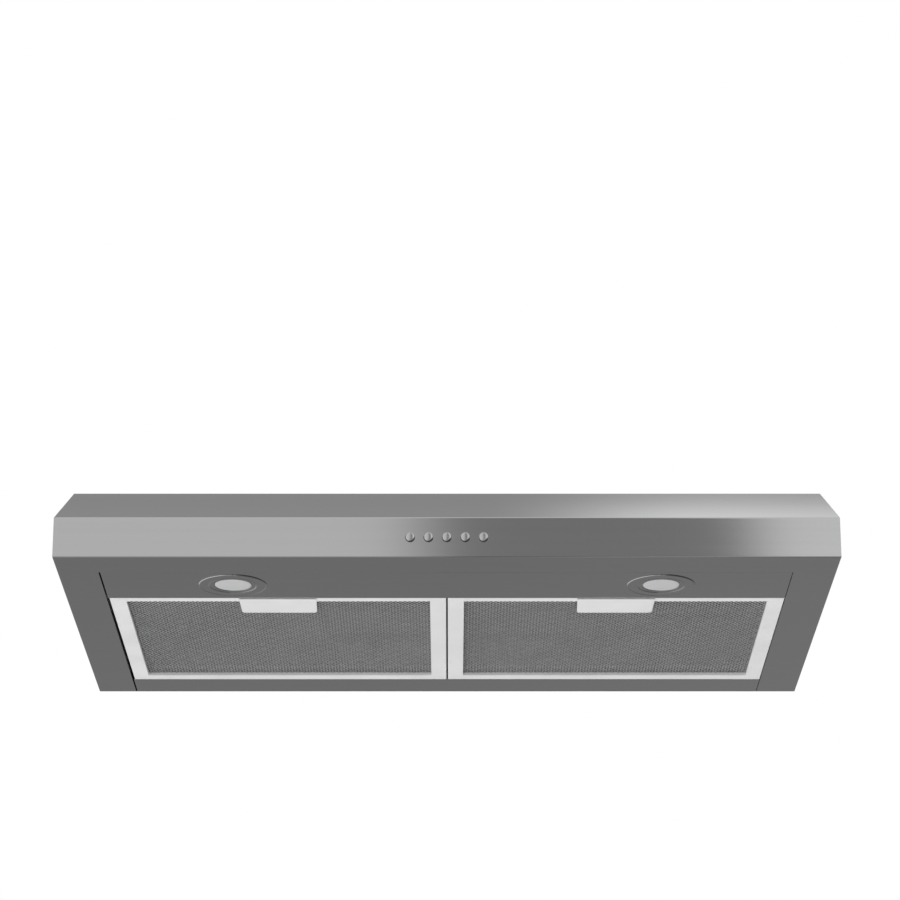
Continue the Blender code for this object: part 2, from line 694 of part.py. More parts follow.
def make_blower(galvanised, plastic, dark, steel, bronze):
    """Scroll, base plate with inlet ring, guard, impeller, motor and the box under the duct."""
    outlet = DUCT_DEPTH - DUCT_LENGTH / 2 - GAP
    scroll = plan_prism(scroll_outline(SHEET, outlet), (BLOWER_BOTTOM, BLOWER_TOP))
    scroll = add("blower_scroll", scroll, galvanised)
    hollow = plan_prism(scroll_outline(0, outlet + OVERLAP), (BLOWER_BOTTOM - OVERLAP, BLOWER_TOP - SHEET))
    cut(scroll, hollow)

    inlet = BLADE_INNER - 0.002
    plate_low = BLOWER_BOTTOM - GAP - SHEET
    plate = plan_prism(scroll_outline(PLATE_RIM, outlet), (plate_low, plate_low + SHEET))
    plate = add("blower_base_plate", plate, galvanised)
    blower = place(BLOWER_X, BLOWER_DEPTH, 0)
    in_plate = plate_low + 0.0002
    lip_top = plate_low + 0.0040
    lip = [(inlet, in_plate), (inlet + 0.008, in_plate), (inlet + 0.0012, lip_top), (inlet, lip_top)]
    join(plate, turned(lip, blower, segments=40))
    below_plate = place(BLOWER_X, BLOWER_DEPTH, plate_low - OVERLAP)
    cut(plate, cylinder(inlet, below_plate, 2 * OVERLAP, segments=40))

    make_guard(plate_low - GAP, inlet + 0.004, dark)
    make_impeller(plastic)
    make_motor(steel, bronze)

    half_x = DUCT_WIDTH / 2 - COLLAR_WALL
    half_y = DUCT_LENGTH / 2 - COLLAR_WALL
    low = BLOWER_BOTTOM - SHEET
    inner_depth = (DUCT_DEPTH - half_y, DUCT_DEPTH + half_y)
    outer_depth = inset(inner_depth, -SHEET)
    discharge = box((-half_x - SHEET, half_x + SHEET), outer_depth, (low, BLOWER_TOP))
    discharge = add("discharge_box", discharge, galvanised)
    cut(discharge, box((-half_x, half_x), inner_depth, (low + SHEET, BLOWER_TOP + OVERLAP)))
    window = (BLOWER_X + SCROLL_START * cos(TONGUE_ANGLE), BLOWER_X + SCROLL_END)
    cut(discharge, box(window, (outer_depth[0] - OVERLAP, DUCT_DEPTH), (low + 0.003, BLOWER_TOP - SHEET)))


def make_motor(steel, bronze):
    """External-rotor style can on the scroll's ceiling, its shaft, bearing and the impeller's nut."""
    blower = place(BLOWER_X, BLOWER_DEPTH, 0)
    shaft_low = 0.0680
    shaft_place = place(BLOWER_X, BLOWER_DEPTH, shaft_low)
    add("motor_shaft", cylinder(SHAFT_RADIUS, shaft_place, 0.0300, segments=16), steel, shaft_place)

    thread = (SHAFT_RADIUS + GAP) / cos(pi / 6)  # a six-sided ring keeps its flats clear of the shaft
    nut_low = HUB_LOW - 0.0048
    nut_top = HUB_LOW - GAP
    nut = [(thread, nut_low), (0.0080, nut_low), (0.0080, nut_top), (thread, nut_top)]
    add("impeller_nut", turned(nut, blower, segments=6), steel, shaft_place)

    ceiling = BLOWER_TOP - SHEET - GAP
    flange = 0.0020
    bore = SHAFT_RADIUS + GAP
    seat = 0.0115
    nose = 0.0800
    seat_top = nose + 0.0072
    shaft_room = 0.0990
    can = [
        (0, ceiling),
        (CAN_FLANGE, ceiling),
        (CAN_FLANGE, ceiling - flange),
        (CAN_RADIUS, ceiling - flange),
        (CAN_RADIUS, nose + 0.0020),
        (CAN_RADIUS - 0.0020, nose),
        (seat, nose),
        (seat, seat_top),
        (bore, seat_top),
        (bore, shaft_room),
        (0, shaft_room),
    ]
    add("motor_can", turned(can, blower, segments=24), steel)
    bush_low = nose + 0.0002
    bush_top = seat_top - GAP
    bush = [(bore, bush_low), (seat - GAP, bush_low), (seat - GAP, bush_top), (bore, bush_top)]
    add("motor_bearing", turned(bush, blower, segments=24), bronze)


def make_guard(top, radius, metal):
    """Flat finger guard over the inlet: rings joined by spokes."""
    centre = place(BLOWER_X, BLOWER_DEPTH, top - SHEET)
    guard = add("inlet_guard", cylinder(radius, centre, SHEET, segments=40), metal)
    spokes = 4
    ring_pitch = 0.0115
    ring_gap = 0.0090
    spoke_half = 0.0016
    slots = bmesh.new()
    for ring in range(4):
        inner = 0.012 + ring * ring_pitch
        edge = spoke_half / inner
        for spoke in range(spokes):
            start = 2 * pi * spoke / spokes + edge
            end = 2 * pi * (spoke + 1) / spokes - edge
            outline = arc((BLOWER_X, BLOWER_DEPTH), inner, start, end, 4)
            outline += arc((BLOWER_X, BLOWER_DEPTH), inner + ring_gap, end, start, 4)
            plan_prism(outline, (top - SHEET - OVERLAP, top + OVERLAP), slots)
    cut(guard, slots)


def make_impeller(plastic):
    """Forward-curved wheel: lower ring, blades, back plate and a cup that reaches down to the hub."""
    levels = (0.0645, 0.0665, 0.1045, 0.1060)  # lower ring, blades, back plate
    stations = ((BLADE_INNER, 0.0), ((BLADE_INNER + IMPELLER_RADIUS) / 2, 0.045), (IMPELLER_RADIUS, 0.125))
    blade_share = 0.22  # of the pitch between blades
    pitch = 2 * pi / BLADE_COUNT
    bm = bmesh.new()
    count = 2 * BLADE_COUNT

    def ring_point(radius, lead, index, height):
        turn = pitch * (index // 2 + blade_share * (index % 2)) + lead
        return bm.verts.new(place(BLOWER_X + radius * cos(turn), BLOWER_DEPTH + radius * sin(turn), height))

    def ring(radius, lead, height):
        return [ring_point(radius, lead, index, height) for index in range(count)]

    def strip(first, second, indices):
        for index in indices:
            after = (index + 1) % count
            bm.faces.new([first[index], first[after], second[after], second[index]])

    grid = [[ring(radius, lead, height) for radius, lead in stations] for height in levels]
    everywhere = range(count)
    gaps = range(1, count, 2)
    blades = range(0, count, 2)
    for inner, outer in ((0, 1), (1, 2)):
        strip(grid[0][inner], grid[0][outer], everywhere)
        strip(grid[1][inner], grid[1][outer], gaps)
        strip(grid[2][inner], grid[2][outer], gaps)
        strip(grid[3][inner], grid[3][outer], everywhere)
        for index in everywhere:
            low_in, low_out = grid[1][inner][index], grid[1][outer][index]
            bm.faces.new([low_in, low_out, grid[2][outer][index], grid[2][inner][index]])
    strip(grid[0][0], grid[1][0], everywhere)
    strip(grid[0][2], grid[1][2], everywhere)
    strip(grid[1][0], grid[2][0], blades)
    strip(grid[1][2], grid[2][2], blades)
    strip(grid[2][2], grid[3][2], everywhere)

    cup_wall = 0.0015
    floor = 0.004
    bore = SHAFT_RADIUS + GAP
    cup = [
        (CUP_RADIUS + cup_wall, levels[2]),
        (CUP_RADIUS + cup_wall, HUB_LOW),
        (bore, HUB_LOW),
        (bore, HUB_LOW + floor),
        (CUP_RADIUS, HUB_LOW + floor),
        (CUP_RADIUS, levels[3]),
    ]
    previous = grid[2][0]
    for radius, height in cup:
        here = ring(radius, 0.0, height)
        strip(previous, here, everywhere)
        previous = here
    strip(previous, grid[3][0], everywhere)
    bmesh.ops.recalc_face_normals(bm, faces=bm.faces)
    add("impeller", bm, plastic, place(BLOWER_X, BLOWER_DEPTH, levels[0]))


# ---- electrical pieces --------------------------------------------------------------------------
def make_terminal_box(galvanised, dark):
    """Sheet box under the roof with its lid, a terminal block, and the cable gland with its nut."""
    top = HEIGHT - SHEET - GAP
    shell = add("terminal_box", box(BOX_X, BOX_DEPTH, (BOX_BOTTOM, top)), galvanised)
    cut(shell, box(inset(BOX_X, SHEET), inset(BOX_DEPTH, SHEET), (BOX_BOTTOM - OVERLAP, top - SHEET)))
    cut(shell, cylinder(GLAND_HOLE, place(*GLAND_PLACE, top - OVERLAP), 2 * OVERLAP))
    rim = 0.003
    lid = rectangle(inset(BOX_X, -rim), inset(BOX_DEPTH, -rim), rim)
    add("terminal_box_lid", plan_prism(lid, (BOX_BOTTOM - GAP - SHEET, BOX_BOTTOM - GAP)), galvanised)

    ways = 4
    way_pitch = 0.010
    block_x = (0.222, 0.262)
    block = add("terminal_block", box(block_x, (0.352, 0.366), (0.094, 0.106)), dark)
    bores = bmesh.new()
    for way in range(ways):
        middle = block_x[0] + way_pitch * (way + 0.5)
        cylinder(0.0028, place(middle, 0.340, 0.1000), 0.04, "Y", 12, bores)
    cut(block, bores)

    bore = 0.0050
    thread = GLAND_HOLE - 2 * GAP
    head = 0.0145
    gland_top = 0.0075
    gland = [
        (bore, -0.012),
        (thread, -0.012),
        (thread, GAP),
        (head, GAP),
        (head, 0.0045),
        (0.0095, gland_top),
        (bore, gland_top),
    ]
    add("cable_gland", turned(gland, place(*GLAND_PLACE, HEIGHT), segments=24), dark)
    nut_outer = 0.0160
    nut_high = 0.0045
    nut = [(GLAND_HOLE, 0), (nut_outer, 0), (nut_outer, -nut_high), (GLAND_HOLE, -nut_high)]
    add("gland_nut", turned(nut, place(*GLAND_PLACE, top - SHEET - GAP), segments=24), dark)


def make_capacitor(steel, galvanised):
    """The motor's run capacitor, held up to the roof by a strap."""
    top = HEIGHT - SHEET - GAP
    radius = 0.0140
    middle = 0.150
    height = top - GAP - radius - 0.0015
    length = 0.056
    can = [
        (0, 0),
        (radius - 0.001, 0),
        (radius, 0.001),
        (radius, length - 0.002),
        (radius - 0.002, length),
        (0, length),
    ]
    add("motor_capacitor", turned(can, place(middle, 0.200, height), "Y", 24), steel)

    inner_radius = radius + GAP
    outer_radius = inner_radius + SHEET
    foot = outer_radius + 0.009
    inner = arc((middle, height), inner_radius, pi, 2 * pi, 10)
    outer = arc((middle, height), outer_radius, 2 * pi, pi, 10)
    right = [(inner_radius, top), (foot, top), (foot, top - SHEET), (outer_radius, top - SHEET)]
    right_side = [(middle + reach, up) for reach, up in right]
    left_side = [(middle - reach, up) for reach, up in reversed(right)]
    outline = inner + right_side + outer + left_side
    strap = extrude([place(x, 0.222, up) for x, up in outline], Vector((0, 0.012, 0)))
    add("capacitor_strap", strap, galvanised)


def make_lead(name, route, radius, sheath):
    """An inner lead: a tube along a smooth curve through the route's own points."""
    samples = 3
    guide = [Vector(route[0])] + [Vector(point) for point in route] + [Vector(route[-1])]
    points = []
    for index in range(1, len(guide) - 2):
        before, start, end, after = guide[index - 1:index + 3]
        for step in range(samples):
            t = step / samples
            linear = (end - before) * t
            square = (2 * before - 5 * start + 4 * end - after) * t * t
            cube = (3 * start - before - 3 * end + after) * t ** 3
            points.append(0.5 * (2 * start + linear + square + cube))
    points.append(guide[-2])
    tube(name, [place(*point) for point in points], radius, 2, sheath)


def make_leads(sheath):
    """Leads from the switch board, the lamps and the motor to the terminal box."""
    thick = 0.0025
    thin = 0.0018
    box_front = BOX_DEPTH[0] - 0.0008
    lamp_top = 0.0240
    switch = [
        (0.055, 0.0265, 0.026),
        (0.060, 0.040, 0.034),
        (0.080, 0.068, 0.056),
        (0.125, 0.115, 0.076),
        (0.180, 0.190, 0.092),
        (0.222, 0.270, 0.097),
        (0.232, 0.320, 0.097),
        (0.232, box_front, 0.097),
    ]
    right_lamp = [
        (LAMP_X, LAMP_DEPTH, lamp_top),
        (LAMP_X + 0.002, LAMP_DEPTH + 0.004, 0.036),
        (0.228, 0.125, 0.062),
        (0.256, 0.190, 0.088),
        (0.266, 0.270, 0.096),
        (0.268, 0.320, 0.097),
        (0.268, box_front, 0.097),
    ]
    left_lamp = [
        (-LAMP_X, LAMP_DEPTH, lamp_top),
        (-LAMP_X + 0.004, LAMP_DEPTH - 0.002, 0.034),
        (-0.175, 0.070, 0.042),
        (-0.125, 0.050, 0.040),
        (-0.080, 0.038, 0.032),
        (-0.058, 0.030, 0.026),
        (-0.056, 0.0262, 0.025),
    ]
    motor = [
        (BLOWER_X + SCROLL_END + 0.0016, 0.300, 0.104),
        (0.095, 0.301, 0.103),
        (0.125, 0.312, 0.099),
        (0.160, 0.338, 0.095),
        (0.185, 0.356, 0.094),
        (BOX_X[0] - 0.0008, 0.362, 0.094),
    ]
    make_lead("switch_lead", switch, thick, sheath)
    make_lead("lamp_lead_right", right_lamp, thin, sheath)
    make_lead("lamp_lead_left", left_lamp, thin, sheath)
    make_lead("motor_lead", motor, thick, sheath)


# ---- duct collar and damper ---------------------------------------------------------------------
def duct_block(half_x, half_y, height):
    """A block about the duct's axis."""
    return box((-half_x, half_x), (DUCT_DEPTH - half_y, DUCT_DEPTH + half_y), height)


def make_collar(galvanised, steel, plastic):
    """Rectangular collar on the roof, and two damper flaps hinged on a rod across its middle."""
    half_x = DUCT_WIDTH / 2
    half_y = DUCT_LENGTH / 2
    low = HEIGHT + GAP
    tall = HEIGHT + COLLAR_HEIGHT
    collar = add("duct_collar", duct_block(half_x, half_y, (low, tall)), galvanised)
    join(collar, duct_block(half_x + COLLAR_FOOT, half_y + COLLAR_FOOT, (low, low + COLLAR_FOOT_SHEET)))
    inner_x = half_x - COLLAR_WALL
    inner_y = half_y - COLLAR_WALL
    ledge = HEIGHT + LEDGE_HEIGHT
    cut(collar, duct_block(inner_x, inner_y, (ledge, tall + OVERLAP)))
    through = (HEIGHT - OVERLAP, ledge + OVERLAP)
    cut(collar, duct_block(inner_x - COLLAR_LEDGE, inner_y - COLLAR_LEDGE, through))

    rod_height = HEIGHT + ROD_HEIGHT
    centre = (DUCT_DEPTH, rod_height)
    rod = side_prism(arc(centre, ROD_RADIUS, 0, 2 * pi, 12)[:-1], (-inner_x + GAP, inner_x - GAP))
    add("damper_rod", rod, steel)

    knuckle_inner = ROD_RADIUS + 0.0004
    knuckle_outer = knuckle_inner + 0.0010
    knuckle_half = 0.009
    start = knuckle_outer + 0.0009
    reach = inner_y - 0.0006
    span = inner_x - 0.0010
    flap_low = ledge + GAP
    flap_top = flap_low + FLAP_SHEET
    for label, side in (("front", -1), ("rear", 1)):
        pivot = place(0, *centre)
        depths = sorted((DUCT_DEPTH + side * start, DUCT_DEPTH + side * reach))
        flap = add("damper_flap_" + label, box((-span, span), depths, (flap_low, flap_top)), plastic, pivot)
        knuckle_x = 0.085 if side < 0 else 0.063
        for middle in (-knuckle_x, knuckle_x):
            width = (middle - knuckle_half, middle + knuckle_half)
            join(flap, side_prism(arc(centre, knuckle_outer, 0, 2 * pi, 12)[:-1], width))
            arm = sorted((DUCT_DEPTH + side * (knuckle_inner + GAP), DUCT_DEPTH + side * (start + 0.004)))
            join(flap, box(width, arm, (flap_low + 0.0001, flap_top + FLAP_SHEET)))
        cut(flap, side_prism(arc(centre, knuckle_inner, 0, 2 * pi, 12)[:-1], (-inner_x, inner_x)))


def make_screws(steel):
    """Pan-head screws that hold the blower's base plate to the scroll."""
    low = BLOWER_BOTTOM - 2 * GAP - SHEET
    head = [(0, -0.0024), (0.0020, -0.0022), (0.0034, -0.0012), (0.0036, 0), (0, 0)]
    for number, degrees in enumerate((100, 165, 235, 310), 1):
        turn = radians(degrees)
        radius = scroll_radius(turn) + PLATE_RIM - 0.002
        where = (BLOWER_X + radius * cos(turn), BLOWER_DEPTH + radius * sin(turn))
        add("base_plate_screw_%d" % number, turned(head, place(*where, low), segments=12), steel)


# ---- the whole hood -----------------------------------------------------------------------------
def main():
    """Clear the scene, then make the materials and every piece."""
    for item in list(bpy.data.objects):
        bpy.data.objects.remove(item)
    brushed = finish("brushed_steel", (0.42, 0.42, 0.42), 0.38, 1.0)
    galvanised = finish("galvanised_steel", (0.50, 0.51, 0.52), 0.50, 1.0)
    aluminium = finish("filter_aluminium", (0.80, 0.80, 0.80), 0.40, 1.0)
    mesh_metal = finish("filter_mesh", (0.45, 0.45, 0.45), 0.45, 1.0)
    chrome = finish("bright_chrome", (0.55, 0.55, 0.56), 0.12, 1.0)
    bright = finish("bright_steel", (0.70, 0.70, 0.70), 0.30, 1.0)
    glass = finish("frosted_lens", (0.78, 0.78, 0.78), 0.50, 0.0)
    plastic = finish("grey_plastic", (0.20, 0.20, 0.21), 0.55, 0.0)
    dark = finish("black_plastic", (0.03, 0.03, 0.03), 0.50, 0.0)
    board = finish("circuit_board", (0.05, 0.18, 0.08), 0.45, 0.0)
    bronze = finish("sintered_bronze", (0.55, 0.38, 0.20), 0.45, 1.0)
    sheath = finish("lead_sheath", (0.04, 0.04, 0.04), 0.60, 0.0)

    make_canopy(brushed)
    make_roof(galvanised)
    make_back(galvanised)
    make_underside_panels(brushed, dark)
    for label, side in SIDES.items():
        make_filter(label, side, aluminium, mesh_metal, bright)
        make_lamp(label, side, brushed, glass, dark, board)
    make_controls(chrome, dark, board)
    make_blower(galvanised, plastic, dark, bright, bronze)
    make_terminal_box(galvanised, dark)
    make_capacitor(bright, galvanised)
    make_leads(sheath)
    make_collar(galvanised, bright, plastic)
    make_screws(bright)


main()
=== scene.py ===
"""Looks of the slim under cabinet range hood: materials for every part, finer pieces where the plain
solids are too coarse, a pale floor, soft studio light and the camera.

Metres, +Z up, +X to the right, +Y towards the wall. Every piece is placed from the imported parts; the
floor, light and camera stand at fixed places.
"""

import json
from math import cos, pi, radians, sin

import bpy
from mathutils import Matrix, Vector


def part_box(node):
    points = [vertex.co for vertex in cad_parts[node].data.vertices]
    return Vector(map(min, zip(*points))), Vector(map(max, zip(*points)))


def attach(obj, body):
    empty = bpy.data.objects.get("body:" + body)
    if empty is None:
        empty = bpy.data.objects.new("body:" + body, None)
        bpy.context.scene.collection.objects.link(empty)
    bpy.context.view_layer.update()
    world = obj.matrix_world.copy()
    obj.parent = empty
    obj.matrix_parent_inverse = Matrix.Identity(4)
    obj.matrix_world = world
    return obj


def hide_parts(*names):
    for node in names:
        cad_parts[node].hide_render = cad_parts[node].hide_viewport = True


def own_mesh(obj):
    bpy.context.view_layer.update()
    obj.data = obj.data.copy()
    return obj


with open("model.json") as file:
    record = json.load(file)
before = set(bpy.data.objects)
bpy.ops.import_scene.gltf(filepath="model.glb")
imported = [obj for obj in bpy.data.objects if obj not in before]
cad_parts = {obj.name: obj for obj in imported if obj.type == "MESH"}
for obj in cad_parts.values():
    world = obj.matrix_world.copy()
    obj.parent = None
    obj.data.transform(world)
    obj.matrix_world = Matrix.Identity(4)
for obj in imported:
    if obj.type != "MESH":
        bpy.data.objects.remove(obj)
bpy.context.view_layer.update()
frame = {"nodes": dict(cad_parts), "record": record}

MM = 0.001
SIDES = ("left", "right")
SMOOTH_ANGLE = radians(32)  # softer edges than this are shaded as one surface
FOLD_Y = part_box("canopy_shell")[0].y  # where the slope leaves the fascia
ROOF_EDGE_Y = FOLD_Y + 155 * MM
SLOPE_CROWN = 0.06  # how far the slope's normal leans forward at the fold
SLOPE_FACING = 0.893  # how far the slope faces upwards


# ---- small mesh tools ---------------------------------------------------------------------------
def centre_of(node):
    """Middle of a part's box."""
    low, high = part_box(node)
    return (low + high) / 2


def new_piece(name, points, faces, material, body, slot, *nodes):
    """A mesh object that rides on a body and stands for the parts it replaces."""
    mesh = bpy.data.meshes.new(name)
    mesh.from_pydata(points, [], faces)
    mesh.materials.append(material)
    mesh.update()
    piece = bpy.data.objects.new(name, mesh)
    bpy.context.scene.collection.objects.link(piece)
    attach(piece, body)
    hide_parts(*nodes)
    return piece


def rounded_profile(profile, radius, steps=4):
    """An open outline of (radius, distance) points with its inner corners eased by a small arc."""
    eased = [Vector(profile[0])]
    for before, corner, after in zip(profile, profile[1:], profile[2:]):
        here = Vector(corner)
        back = Vector(before) - here
        on = Vector(after) - here
        reach = min(radius, back.length * 0.45, on.length * 0.45)
        start = here + back.normalized() * reach
        end = here + on.normalized() * reach
        for step in range(steps + 1):
            share = step / steps
            first = start.lerp(here, share)
            eased.append(first.lerp(here.lerp(end, share), share))
    eased.append(Vector(profile[-1]))
    return [tuple(point) for point in eased]


def lathe(profile, centre, axis, segments=96):
    """Points and faces of a turned shape. A profile that starts and ends on the axis makes a solid,
    and any other is closed into a ring."""
    points = []
    rings = []
    for radius, along in profile:
        count = segments if radius > 1e-9 else 1
        ring = []
        for step in range(count):
            turn = 2 * pi * step / segments
            across = (radius * cos(turn), radius * sin(turn))
            if axis == "Z":
                offset = Vector((across[0], across[1], along))
            else:
                offset = Vector((across[0], along, -across[1]))
            ring.append(len(points))
            points.append(centre + offset)
        rings.append(ring)
    following = rings[1:] + (rings[:1] if profile[0][0] > 1e-9 else [])
    faces = []
    for low, high in zip(rings, following):
        for step in range(segments):
            after = (step + 1) % segments
            corners = [
                low[step % len(low)],
                low[after % len(low)],
                high[after % len(high)],
                high[step % len(high)],
            ]
            faces.append(list(dict.fromkeys(corners)))
    return points, faces


def turned_piece(name, profile, centre, axis, material, body, slot, *nodes):
    """A turned piece with smooth shading and crisp edges where its profile turns sharply."""
    points, faces = lathe(profile, centre, axis)
    piece = new_piece(name, points, faces, material, body, slot, *nodes)
    smooth_shading(piece)
    return piece


def smoothing_group():
    """Geometry nodes that weld a part's triangles and shade its gentle edges smooth."""
    tree = bpy.data.node_groups.new("weld_and_smooth", "GeometryNodeTree")
    tree.interface.new_socket("Geometry", in_out="INPUT", socket_type="NodeSocketGeometry")
    tree.interface.new_socket("Geometry", in_out="OUTPUT", socket_type="NodeSocketGeometry")
    source = tree.nodes.new("NodeGroupInput")
    result = tree.nodes.new("NodeGroupOutput")
    plain = tree.nodes.new("GeometryNodeRemoveAttribute")
    plain.inputs["Name"].default_value = "custom_normal"
    weld = tree.nodes.new("GeometryNodeMergeByDistance")
    weld.inputs["Distance"].default_value = 0.00001
    angle = tree.nodes.new("GeometryNodeInputMeshEdgeAngle")
    gentle = tree.nodes.new("FunctionNodeCompare")
    gentle.operation = "LESS_THAN"
    gentle.inputs["B"].default_value = SMOOTH_ANGLE
    faces = tree.nodes.new("GeometryNodeSetShadeSmooth")
    edges = tree.nodes.new("GeometryNodeSetShadeSmooth")
    edges.domain = "EDGE"
    tree.links.new(source.outputs["Geometry"], plain.inputs["Geometry"])
    tree.links.new(plain.outputs["Geometry"], weld.inputs["Geometry"])
    tree.links.new(weld.outputs["Geometry"], faces.inputs["Geometry"])
    tree.links.new(faces.outputs["Geometry"], edges.inputs["Geometry"])
    tree.links.new(angle.outputs["Unsigned Angle"], gentle.inputs["A"])
    tree.links.new(gentle.outputs["Result"], edges.inputs["Shade Smooth"])
    tree.links.new(edges.outputs["Geometry"], result.inputs["Geometry"])
    return tree


SMOOTHING = smoothing_group()


def smooth_shading(piece):
    """Weld and smooth by modifiers, so the mesh itself stays as it is and flat faces stay flat."""
    piece.modifiers.new("smooth", "NODES").node_group = SMOOTHING
    weighted = piece.modifiers.new("weighted_normals", "WEIGHTED_NORMAL")
    weighted.weight = 100
    weighted.keep_sharp = True


# ---- material tools -----------------------------------------------------------------------------
class Nodes:
    """A node tree and short calls that add nodes to it."""

    def __init__(self, tree):
        self.tree = tree

    def put(self, socket, value):
        """Give a socket a value, or link it to another node's output."""
        if isinstance(value, bpy.types.NodeSocket):
            self.tree.links.new(value, socket)
        elif isinstance(value, tuple) and socket.type == "RGBA":
            socket.default_value = (*value[:3], 1.0)
        else:
            socket.default_value = value

    def node(self, kind, output=0, settings=(), **inputs):
        """Add a node, set it up and return one of its outputs."""
        made = self.tree.nodes.new(kind)
        for name, value in dict(settings).items():
            setattr(made, name, value)
        for name, value in inputs.items():
            self.put(made.inputs[name.replace("_", " ")], value)
        return made.outputs[output]

    def place(self):
        """Where a point is on the part, in metres."""
        return self.node("ShaderNodeTexCoord", "Object")

    def scaled(self, vector, scale):
        """A vector with each part multiplied."""
        return self.node("ShaderNodeMapping", 0, Vector=vector, Scale=scale)

    def added(self, first, second):
        """Two vectors added."""
        made = self.tree.nodes.new("ShaderNodeVectorMath")
        self.put(made.inputs[0], first)
        self.put(made.inputs[1], second)
        return made.outputs[0]

    def maths(self, operation, first, second=0.0):
        """One sum, product or other operation on two numbers."""
        made = self.tree.nodes.new("ShaderNodeMath")
        made.operation = operation
        self.put(made.inputs[0], first)
        self.put(made.inputs[1], second)
        return made.outputs[0]

    def noise(self, vector, scale, detail=3.0, rough=0.55, output="Fac"):
        """Smooth noise, from 0 to 1."""
        return self.node("ShaderNodeTexNoise", output,
                         Vector=vector, Scale=scale, Detail=detail, Roughness=rough)

    def cells(self, vector, scale, output="Color", feature="F1"):
        """Crystal-like cells, each of its own random colour."""
        return self.node("ShaderNodeTexVoronoi", output, {"feature": feature}, Vector=vector, Scale=scale)

    def span(self, value, low, high, start=0.0, end=1.0, kind="LINEAR"):
        """Carry a number from one range to another, kept inside it."""
        made = self.tree.nodes.new("ShaderNodeMapRange")
        made.interpolation_type = kind
        sockets = ("Value", "From Min", "From Max", "To Min", "To Max")
        for socket, number in zip(sockets, (value, low, high, start, end)):
            self.put(made.inputs[socket], number)
        return made.outputs[0]

    def blend(self, factor, first, second, kind="MIX"):
        """Mix two colours."""
        made = self.tree.nodes.new("ShaderNodeMix")
        made.data_type = "RGBA"
        made.blend_type = kind
        self.put(made.inputs["Factor"], factor)
        self.put(made.inputs[6], first)
        self.put(made.inputs[7], second)
        return made.outputs[2]

    def bump(self, height, distance, strength=1.0, normal=None):
        """A normal from a height between 0 and 1."""
        made = self.tree.nodes.new("ShaderNodeBump")
        self.put(made.inputs["Height"], height)
        self.put(made.inputs["Distance"], distance)
        self.put(made.inputs["Strength"], strength)
        if normal is not None:
            self.put(made.inputs["Normal"], normal)
        return made.outputs[0]

    def eased_edges(self, radius):
        """A normal that rounds off hard edges by a small radius."""
        return self.node("ShaderNodeBevel", 0, {"samples": 4}, Radius=radius)


class Surface(Nodes):
    """A material, its nodes and its main shader."""

    def __init__(self, name):
        self.material = bpy.data.materials.new(name)
        self.material.use_nodes = True
        super().__init__(self.material.node_tree)
        self.shader = self.tree.nodes["Principled BSDF"]

    def set(self, **values):
        """Set the shader's inputs by name, with underscores for spaces."""
        for name, value in values.items():
            self.put(self.shader.inputs[name.replace("_", " ").title().replace("Ior", "IOR")], value)


def brushed_steel():
    """Stainless steel brushed across the hood, and front to back on its two ends. The slope is pulled
    a little towards the fascia near their shared fold, as a folded sheet is."""
    steel = Surface("brushed_steel")
    place = steel.place()
    facing = steel.tree.nodes.new("ShaderNodeSeparateXYZ")
    steel.put(facing.inputs[0], steel.node("ShaderNodeNewGeometry", "True Normal"))
    is_end = steel.maths("GREATER_THAN", steel.maths("ABSOLUTE", facing.outputs["X"]), 0.8)
    across = steel.scaled(place, (1.5, 900.0, 900.0))
    along = steel.scaled(place, (900.0, 1.5, 900.0))
    fine = steel.blend(is_end, across, along)
    wide_across = steel.scaled(place, (0.8, 140.0, 140.0))
    wide_along = steel.scaled(place, (140.0, 0.8, 140.0))
    broad = steel.blend(is_end, wide_across, wide_along)
    hairs = steel.noise(fine, 4.0, 3.0, 0.7)
    bands = steel.noise(broad, 1.0, 4.0, 0.6)
    smudges = steel.noise(place, 9.0, 3.0, 0.5)
    tone = steel.span(steel.maths("ADD", steel.maths("MULTIPLY", hairs, 0.6), bands), 0.3, 1.3, 0.0, 1.0)

    off_slope = steel.maths("ABSOLUTE", steel.maths("SUBTRACT", facing.outputs["Z"], SLOPE_FACING))
    is_slope = steel.maths("LESS_THAN", off_slope, 0.03)
    depth = steel.node("ShaderNodeSeparateXYZ", "Y", Vector=place)
    near_fold = steel.span(depth, FOLD_Y, ROOF_EDGE_Y, 1.0, 0.0)
    pull = steel.maths("MULTIPLY", steel.maths("MULTIPLY", is_slope, near_fold), -SLOPE_CROWN)
    crown = steel.node("ShaderNodeCombineXYZ", 0, Y=pull)
    bent = steel.node("ShaderNodeVectorMath", 0, {"operation": "NORMALIZE"},
                      Vector=steel.added(steel.eased_edges(0.0005), crown))
    brushing = steel.span(hairs, 0.25, 0.75, 0.080, 0.110)
    handling = steel.span(smudges, 0.4, 0.75, 0.0, 0.012)
    steel.set(
        base_color=steel.blend(tone, (0.385, 0.387, 0.390), (0.425, 0.426, 0.428)),
        metallic=1.0,
        roughness=steel.maths("ADD", brushing, handling),
        anisotropic=0.95,
        anisotropic_rotation=0.25,
        normal=steel.bump(hairs, 0.000004, 0.3, bent),
    )
    steel.put(steel.shader.inputs["Tangent"], steel.blend(is_end, (1.0, 0.0, 0.0), (0.0, 1.0, 0.0)))
    return steel.material


